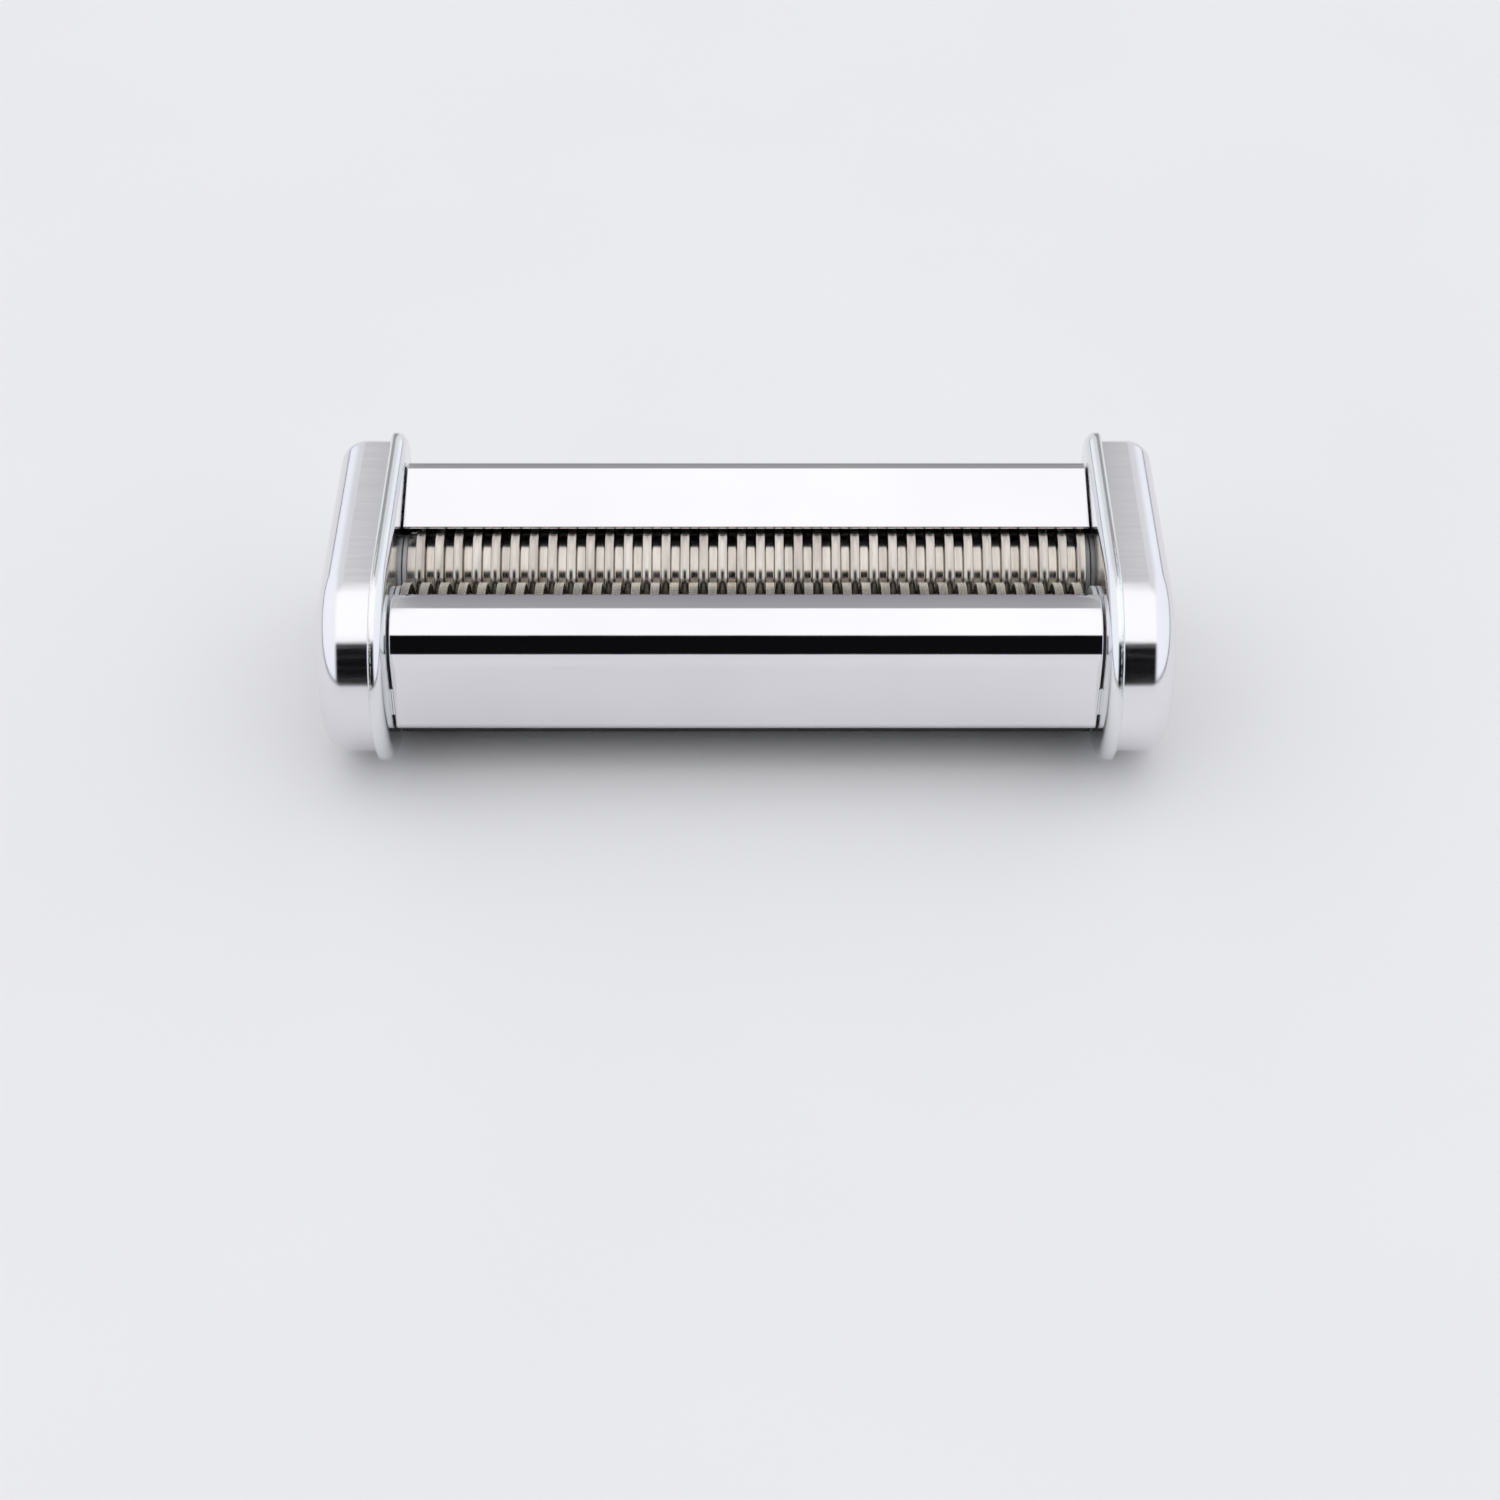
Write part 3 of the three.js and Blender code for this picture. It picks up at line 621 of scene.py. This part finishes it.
def side_plate(name, side, front_journal):
    """A pressed pan with a rounded rim, open to the outside."""
    lip = 0.5
    inner = PLATE_ROUNDING - PLATE_SHEET
    flat = PLATE_ROUNDING + FLAT_INSET
    profile = [(INNER_FACE, flat)]
    bend = INNER_FACE + PLATE_ROUNDING
    profile += arc(bend, PLATE_ROUNDING, PLATE_ROUNDING, 180, 270, 18)
    profile += arc(RIM_EDGE - lip, lip, lip, 270, 360, 8)
    profile += arc(RIM_EDGE - lip, PLATE_SHEET - lip, lip, 0, 90, 8)
    profile += arc(PAN_FLOOR + inner, PLATE_ROUNDING, inner, 270, 180, 8)
    profile += [(PAN_FLOOR, flat)]
    plate = pan(name + "_pan", profile, side)
    cut(plate, plate_cutters(side, front_journal))
    dress(plate, PLATE_CHROME, "head", [name], 0.12)


def end_cap(name, side):
    """A deep-drawn cap; the right one has the hole for the crank."""
    inner = CAP_FILLET - CAP_SHEET
    inside_face = CAP_FACE - CAP_SHEET
    centre = CAP_INSET + CAP_FILLET
    profile = [(CAP_FACE, centre + FLAT_INSET)]
    profile += arc(CAP_FACE - CAP_FILLET, centre, CAP_FILLET, 0, -90, 28)
    profile += [(CAP_MOUTH, CAP_INSET), (CAP_MOUTH, CAP_INSET + CAP_SHEET)]
    profile += arc(inside_face - inner, centre, inner, -90, 0, 16)
    profile += [(inside_face, centre + FLAT_INSET)]
    cap = pan(name + "_shell", profile, side)
    if side > 0:
        cut(cap, [drill(FRONT_AXIS_Y, AXIS_Z, CRANK_HOLE, inside_face - CUT_PAST, CAP_FACE + CUT_PAST)])
    dress(cap, CAP_CHROME, "head", [name], 0.25, 4)


side_plate("left_side_plate", -1, JOURNAL)
side_plate("right_side_plate", 1, DRIVE_JOURNAL)
end_cap("left_end_cap", -1)
end_cap("right_end_cap", 1)


# ---- Cutter rollers ----

def ridge_rows(centre, dish):
    """One ridge: small root fillets, rounded corners and a top that is dished by that much."""
    half = RIDGE_WIDTH / 2
    top = RIDGE_RADIUS
    root = GROOVE_RADIUS
    left = [(-half - 0.38, root), (-half - 0.16, root + 0.07), (-half - 0.04, root + 0.22),
            (-half, root + 0.42), (-half, top - 0.2), (-half + 0.06, top - 0.06), (-half + 0.2, top)]
    inside = [(-half * 0.45, top - dish * 0.75), (0, top - dish), (half * 0.45, top - dish * 0.75)]
    right = [(-x, radius) for x, radius in left[::-1]]
    return [(centre + x, radius) for x, radius in left + inside + right]


def gear_end_rings():
    """The left shaft of either roller: gear seat with a flat, clip groove and journal."""
    end = low("drive_cutter_roller").x
    clip = low("drive_gear_clip").x
    clip_end = high("drive_gear_clip").x
    seat = high("drive_gear").x + BORE_GAP
    groove = GEAR_SEAT - CLIP_GROOVE
    return [
        circle(end, GEAR_SEAT - 0.5, flat=SHAFT_FLAT - 0.5),
        circle(end + 0.5, GEAR_SEAT, flat=SHAFT_FLAT),
        circle(clip - 0.2, GEAR_SEAT, flat=SHAFT_FLAT),
        circle(clip - 0.2, groove, flat=SHAFT_FLAT),
        circle(clip_end + 0.1, groove, flat=SHAFT_FLAT),
        circle(clip_end + 0.1, GEAR_SEAT, flat=SHAFT_FLAT),
        circle(seat, GEAR_SEAT, flat=SHAFT_FLAT),
        circle(seat, JOURNAL - 0.3),
        circle(seat + 0.3, JOURNAL),
        circle(-ROLLER_HALF, JOURNAL),
        circle(-ROLLER_HALF, GROOVE_RADIUS - 0.3),
        circle(-ROLLER_HALF + 0.1, GROOVE_RADIUS - 0.08),
    ]


def body_rings(first, dish):
    """The ridges, kept within the roller's own ends."""
    rings = []
    for i in range(RIDGES):
        for x, radius in ridge_rows(first + i * RIDGE_PITCH, dish):
            if abs(x) < ROLLER_HALF - 0.12:
                rings.append(circle(x, radius))
    return rings


def drive_roller():
    """The front roller, with the crank's hexagonal socket in its right end."""
    end = high("drive_cutter_roller").x
    bottom = end - SOCKET_DEPTH
    rings = gear_end_rings() + body_rings(-ROLLER_HALF + RIDGE_PITCH / 4, 0.03)
    rings += [
        circle(ROLLER_HALF - 0.1, GROOVE_RADIUS - 0.08),
        circle(ROLLER_HALF, GROOVE_RADIUS - 0.3),
        circle(ROLLER_HALF, DRIVE_JOURNAL),
        circle(end - 0.6, DRIVE_JOURNAL),
        circle(end, DRIVE_JOURNAL - 0.6),
        hexagon(end, SOCKET_FLATS + 1.0),
        hexagon(end - 0.5, SOCKET_FLATS),
        hexagon(bottom, SOCKET_FLATS),
        circle(bottom - 0.4, SOCKET_FLATS / 2 - 0.6),
    ]
    roller = loft("drive_roller_body", rings)
    place(roller, FRONT_AXIS_Y, AXIS_Z)
    dress(roller, DRIVE_STEEL, "drive_roller", ["drive_cutter_roller"])


def driven_roller():
    """The rear roller, with a clip groove at its right end."""
    end = high("driven_cutter_roller").x
    clip = low("driven_roller_clip").x
    clip_end = high("driven_roller_clip").x
    groove = JOURNAL - CLIP_GROOVE
    rings = gear_end_rings() + body_rings(-ROLLER_HALF + 3 * RIDGE_PITCH / 4, 0.2)
    rings += [
        circle(ROLLER_HALF - 0.1, GROOVE_RADIUS - 0.08),
        circle(ROLLER_HALF, GROOVE_RADIUS - 0.3),
        circle(ROLLER_HALF, JOURNAL),
        circle(clip - 0.1, JOURNAL),
        circle(clip - 0.1, groove),
        circle(clip_end + 0.2, groove),
        circle(clip_end + 0.2, JOURNAL),
        circle(end - 0.4, JOURNAL),
        circle(end, JOURNAL - 0.4),
    ]
    roller = loft("driven_roller_body", rings)
    place(roller, REAR_AXIS_Y, AXIS_Z)
    dress(roller, DRIVEN_STEEL, "driven_roller", ["driven_cutter_roller"])


drive_roller()
driven_roller()


# ---- Bushes, thrust washers, rods, nuts and clips ----

def bush(name, side, journal):
    """A bush in a plate's hole, with its flange on the outer side."""
    bore = journal + 0.05
    barrel = journal + BUSH_WALL
    flange = half_height(name)
    inner = INNER_FACE + 0.1
    outer = high(name).x if side > 0 else -low(name).x
    profile = [(inner, bore), (inner, barrel), (outer - BUSH_FLANGE, barrel),
               (outer - BUSH_FLANGE, flange), (outer, flange), (outer, bore)]
    rows = rounded(profile, [0.2, 0.2, 0, 0.25, 0.25, 0.2], 3)
    piece = lathe(name + "_ring", [(side * x, radius) for x, radius in rows], True)
    centre_on(piece, name)
    dress(piece, BRONZE, "head", [name])


def thrust_washer(name, side, journal):
    lo, hi = low(name), high(name)
    radius = half_height(name)
    profile = [(lo.x, journal + BORE_GAP), (lo.x, radius), (hi.x, radius), (hi.x, journal + BORE_GAP)]
    piece = lathe(name + "_ring", rounded(profile, 0.2, 3), True)
    centre_on(piece, name)
    dress(piece, NYLON, "head", [name])


for side, sign in (("left", -1), ("right", 1)):
    front = DRIVE_JOURNAL if sign > 0 else JOURNAL
    bush("front_bush_" + side, sign, front)
    bush("rear_bush_" + side, sign, JOURNAL)
    thrust_washer("front_thrust_washer_" + side, sign, front)
    thrust_washer("rear_thrust_washer_" + side, sign, JOURNAL)


def rod(name, stud):
    """A rod between the plates; a thicker one steps down to a stud at each end."""
    end = high(name).x
    radius = half_height(name)
    shoulder = INNER_FACE - 0.3
    half = [(end, stud - 0.35), (end - 0.35, stud)]
    if radius > stud + 0.1:
        half += [(shoulder, stud), (shoulder, radius - 0.3), (shoulder - 0.3, radius)]
    profile = [(-x, r) for x, r in half] + half[::-1]
    piece = lathe(name + "_bar", profile, steps=ROD_STEPS)
    centre_on(piece, name)
    dress(piece, ZINC, "head", [name])


def nut(name, stud):
    """A hexagonal nut with its corners turned off on the outer face."""
    lo, hi = low(name), high(name)
    out = 1 if lo.x > 0 else -1
    near = lo.x if out > 0 else hi.x
    far = hi.x if out > 0 else lo.x
    flats = min(hi.z - lo.z, hi.y - lo.y)
    bore = stud + BORE_GAP
    rings = [
        circle(near, bore + 0.3), hexagon(near, flats), hexagon(far - out * 0.5, flats),
        circle(far, flats / 2 - 0.1), circle(far, bore + 0.3), circle(far - out * 0.3, bore),
        circle(near + out * 0.3, bore),
    ]
    piece = loft(name + "_hex", rings, True)
    centre_on(piece, name)
    dress(piece, ZINC, "head", [name], sharp=28)


for rod_name in ("upper_tie_rod", "lower_tie_rod", "front_comb_rod", "rear_comb_rod"):
    stud_radius = min(TIE_STUD, half_height(rod_name))
    rod(rod_name, stud_radius)
    nut(rod_name + "_nut_left", stud_radius)
    nut(rod_name + "_nut_right", stud_radius)


def clip(name, shaft, body):
    """A retaining clip: most of a ring with an opening at the bottom."""
    lo, hi = low(name), high(name)
    inner = shaft - CLIP_GROOVE + BORE_GAP
    outer = hi.z - AXIS_Z
    outline = arc(0, 0, outer, -58, 238, 60) + arc(0, 0, inner, 238, -58, 60)
    piece = along_x(name + "_ring", outline, lo.x, hi.x)
    place(piece, middle(name).y, AXIS_Z)
    dress(piece, ZINC, body, [name], 0.1)


clip("drive_gear_clip", GEAR_SEAT, "drive_roller")
clip("driven_gear_clip", GEAR_SEAT, "driven_roller")
clip("driven_roller_clip", JOURNAL, "driven_roller")


# ---- Mounting rails and their rivets ----

def rail(name):
    """A channel bent from sheet, open at the back, with rounded bends."""
    lo, hi = low(name), high(name)
    half = (hi.x - lo.x) / 2
    depth = hi.y - lo.y
    wall = half - RAIL_SHEET
    lip = half - RAIL_LIP
    mouth = depth - RAIL_SHEET
    corners = [(-half, 0), (half, 0), (half, depth), (lip, depth), (lip, mouth), (wall, mouth),
               (wall, RAIL_SHEET), (-wall, RAIL_SHEET), (-wall, mouth), (-lip, mouth), (-lip, depth),
               (-half, depth)]
    radii = [1.3, 1.3, 1.3, 0.15, 0.15, 0.3, 0.3, 0.3, 0.3, 0.15, 0.15, 1.3]
    section = rounded(corners, radii, 8)
    centre = middle(name).x
    rings = [[(centre + x, lo.y + y, z) for x, y in section] for z in (lo.z, hi.z)]
    piece = loft(name + "_channel", rings)
    dress(piece, RAIL_STEEL, "head", [name], 0.1, 2, 60)


def rivet(name):
    """A rivet along Y with a low dome on each side."""
    lo, hi = low(name), high(name)
    radius = (hi.x - lo.x) / 2
    dome = [(0.02, 0), (radius * 0.45, 0.07), (radius * 0.75, 0.22), (radius * 0.93, 0.45),
            (radius, 0.75), (radius - 0.05, RIVET_DOME)]
    rows = [(lo.y + depth, r) for r, depth in dome]
    rows += [(lo.y + RIVET_DOME, RIVET_SHANK), (hi.y - RIVET_DOME, RIVET_SHANK)]
    rows += [(hi.y - depth, r) for r, depth in dome[::-1]]
    rings = []
    for y, r in rows:
        rings.append([(a, y, b) for a, b in arc(middle(name).x, middle(name).z, r, 0, 352.5, 47)])
    piece = loft(name + "_pin", rings)
    dress(piece, ZINC, "head", [name])


for side in ("left", "right"):
    rail(side + "_mounting_rail")
    rivet(side + "_rail_rivet_lower")
    rivet(side + "_rail_rivet_upper")


# ---- Gears ----

def gear_outline(radius):
    """Involute teeth round the axis, for a pitch circle of that radius."""
    pressure = math.radians(PRESSURE_ANGLE)
    base = radius * math.cos(pressure)
    tip = radius + GEAR_ADDENDUM * GEAR_MODULE
    root = radius - GEAR_DEDENDUM * GEAR_MODULE
    at_pitch = math.pi / (2 * GEAR_TEETH) - GEAR_BACKLASH / (2 * radius)

    def half_angle(r):
        reach = math.acos(min(1, base / r))
        return at_pitch + math.tan(pressure) - pressure - math.tan(reach) + reach

    flank = [base + (tip - base) * s / 6 for s in range(7)]
    points = []
    for i in range(GEAR_TEETH):
        centre = 2 * math.pi * i / GEAR_TEETH
        rows = [(root, -half_angle(base))] + [(r, -half_angle(r)) for r in flank]
        rows += [(r, half_angle(r)) for r in flank[::-1]] + [(root, half_angle(base))]
        for r, angle in rows:
            points.append((r * math.cos(centre + angle), r * math.sin(centre + angle)))
    return points


def gear(name, body):
    """A gear whose bore has a flat. Its pitch radius is half the distance between the axes."""
    lo, hi = low(name), high(name)
    piece = along_x(name + "_wheel", gear_outline(REAR_AXIS_Y), lo.x, hi.x)
    ends = (lo.x - CUT_PAST, hi.x + CUT_PAST)
    rings = [circle(x, GEAR_SEAT + BORE_GAP, DRILL_STEPS, SHAFT_FLAT + BORE_GAP) for x in ends]
    cut(piece, [loft("bore", rings)])
    place(piece, FRONT_AXIS_Y if body == "drive_roller" else REAR_AXIS_Y, AXIS_Z)
    dress(piece, ZINC, body, [name], 0.12)


gear("drive_gear", "drive_roller")
gear("driven_gear", "driven_roller")


# ---- Stripping combs ----

def finger_section(rod_y, rod_z):
    """One finger of the front comb: its inner edge follows the groove's floor."""
    radius = GROOVE_RADIUS + FINGER_GAP
    middle_angle = (FINGER_ROOT + FINGER_TIP) / 2
    edge = arc(FRONT_AXIS_Y, AXIS_Z, radius, FINGER_ROOT, FINGER_TIP, 28)
    outer = []
    for s in range(13):
        way = s / 12
        thick = FINGER_TIP_THICKNESS + (FINGER_DEPTH - FINGER_TIP_THICKNESS) * way ** 0.8
        angle = FINGER_TIP + (middle_angle - FINGER_TIP) * way
        outer.append(on_circle(FRONT_AXIS_Y, AXIS_Z, radius + thick, angle))
    half = COMB_BAR / 2
    return edge + outer + [(rod_y + half - 1, rod_z - half / 2), (rod_y, rod_z + half - 1)]


def finger_row(name, section):
    """The comb's fingers, one in each groove, as one mesh."""
    verts, faces = [], []
    for i in range(RIDGES - 1):
        x = -ROLLER_HALF + 3 * RIDGE_PITCH / 4 + i * RIDGE_PITCH
        ends = (x - FINGER_WIDTH / 2, x + FINGER_WIDTH / 2)
        rings = [[(end, y, z) for y, z in section] for end in ends]
        faces += ring_faces(rings, first=len(verts))
        verts += rings[0] + rings[1]
    return build(name, verts, faces)


def comb(name, sign):
    """sign is -1 for the front comb; the rear one is the same piece turned round."""
    lo, hi = low(name), high(name)
    rod_place = middle(name.replace("comb", "comb_rod"))
    rod_y = -abs(rod_place.y)
    rod_z = rod_place.z
    corners = rectangle(rod_y, rod_z, COMB_BAR / 2, COMB_BAR / 2)
    bar = along_x(name + "_bar", rounded(corners, 0.7, 6), lo.x, hi.x)
    radius = half_height("front_comb_rod") + BORE_GAP
    cut(bar, [drill(rod_y, rod_z, radius, lo.x - CUT_PAST, hi.x + CUT_PAST)])
    fingers = finger_row(name + "_fingers", finger_section(rod_y, rod_z))
    for piece in (bar, fingers):
        if sign > 0:
            piece.rotation_euler = (0, 0, math.pi)
        dress(piece, BLACK_PLASTIC, "head", [name], 0.14)


comb("front_comb", -1)
comb("rear_comb", 1)


# ---- Seams between the caps and the plates ----

def filled(path, step):
    """The closed path with points added, so that none are much further apart than the step."""
    dense = []
    for i, (y, z) in enumerate(path):
        ny, nz = path[(i + 1) % len(path)]
        parts = max(1, int(math.hypot(ny - y, nz - z) / step))
        dense += [(y + (ny - y) * s / parts, z + (nz - z) * s / parts) for s in range(parts)]
    return dense


def seam_ring(y, z, outwards, side):
    """A ring round the seam's path. Its swelling comes from a fixed noise field."""
    x = RIM_EDGE - SEAM_SINK
    # 1 round the nose, fading to 0.12 behind the middle
    nose = min(1.0, max(0.12, (6 - y) / 20))
    ring = []
    for k in range(SEAM_SIDES):
        angle = 2 * math.pi * k / SEAM_SIDES
        # The two sides lie 80 apart in the noise field, so that their seams differ
        spot = Vector((x + 3 * k, y * 1.7, z * 1.7 + side * 40))
        swell = SEAM_RADIUS + SEAM_SWELL * nose * noise.noise(spot)
        out = outwards * (swell * math.sin(angle))
        ring.append((side * (x + swell * math.cos(angle)), y + out.x, z + out.y))
    return ring


def crimp_bead(name, side):
    """The rolled seam between an end cap and its plate: even at the back, uneven round the nose."""
    path = filled(side_outline(CAP_INSET - 0.18), SEAM_STEP)
    rings = []
    for i, (y, z) in enumerate(path):
        ay, az = path[i - 1]
        by, bz = path[(i + 1) % len(path)]
        along = Vector((by - ay, bz - az)).normalized()
        rings.append(seam_ring(y, z, Vector((along.y, -along.x)), side))
    bead = loft(name, rings, True)
    dress(bead, PLATE_CHROME, "head", sharp=80)


crimp_bead("left_cap_seam", -1)
crimp_bead("right_cap_seam", 1)


# ---- Stage: floor, light and camera ----

def floor():
    """A pale floor just under the part, wide enough to reach the horizon in the chrome."""
    corners = rectangle(0, 0, FLOOR_REACH, FLOOR_REACH)
    obj = build("floor", [(x, y, -FLOOR_DROP) for x, y in corners], [(0, 1, 2, 3)])
    n = Nodes("floor_paper")
    n.shader.inputs["Specular IOR Level"].default_value = 0.2
    n.tint(n.noise(9, detail=2.0), (0.875, 0.87, 0.875), (0.89, 0.885, 0.89))
    n.roughen(n.ranged(n.noise(300), 0.7, 0.85))
    obj.data.materials.append(n.material)


def grey(level):
    return (level, level, level)


def step_ramp(tree, value, start, end):
    """0 up to start and 1 from end on."""
    stops = [(0.0, grey(0)), (start, grey(0)), (end, grey(1)), (1.0, grey(1))]
    return tree.ramp(value, stops)


def studio():
    """A white tent round the object: dark towards the camera, grey low at the back."""
    world = bpy.data.worlds.new("studio")
    bpy.context.scene.world = world
    tree = Tree(world)
    coordinates = tree.nodes.new("ShaderNodeTexCoord")
    x, y, z = tree.axes(coordinates.outputs["Generated"])
    across = tree.calc("ABSOLUTE", x)

    # The direction's angle from the front horizon, over the top, to the back one: 0 to 1
    rise = tree.calc("ARCTAN2", z, tree.calc("MULTIPLY", y, -1))
    turn = tree.calc("DIVIDE", tree.calc("MAXIMUM", rise, 0), math.pi)
    white = (1.2, 1.2, 1.21)
    band = tree.ramp(turn, [
        (0.0, (0.45, 0.45, 0.48)), (0.012, (0.005, 0.005, 0.006)), (0.262, (0.004, 0.004, 0.005)),
        (0.280, white), (0.672, white), (0.69, (0.42, 0.42, 0.43)), (1.0, (0.33, 0.33, 0.34))])

    # Lighter low at the back, away from the middle
    low_back = step_ramp(tree, turn, 0.60, 0.66)
    off_middle = step_ramp(tree, across, 0.116, 0.128)
    band = tree.mix(tree.calc("MULTIPLY", low_back, off_middle), band, (0.80, 0.81, 0.83, 1))

    # To the left and right the tent is white above a dark strip near the horizon
    flank = tree.ramp(tree.calc("MAXIMUM", z, 0), [
        (0.0, (0.6, 0.6, 0.62)), (0.015, (0.24, 0.24, 0.26)), (0.05, (0.24, 0.24, 0.26)),
        (0.09, (1.0, 1.03, 1.09)), (1.0, (1.05, 1.06, 1.09))])
    light = tree.mix(step_ramp(tree, across, 0.34, 0.52), band, flank)
    background = tree.nodes["Background"]
    tree.link(light, background.inputs["Color"])
    background.inputs["Strength"].default_value = 1.0


def camera():
    data = bpy.data.cameras.new("camera")
    data.lens = CAMERA_LENS
    data.sensor_width = 36
    data.clip_start = 0.01
    obj = bpy.data.objects.new("camera", data)
    obj.location = CAMERA_PLACE
    obj.rotation_euler = (math.radians(CAMERA_TILT), 0, 0)
    bpy.context.scene.collection.objects.link(obj)
    bpy.context.scene.camera = obj


floor()
studio()
camera()
bpy.context.scene.view_settings.view_transform = "Standard"

bpy.context.view_layer.update()
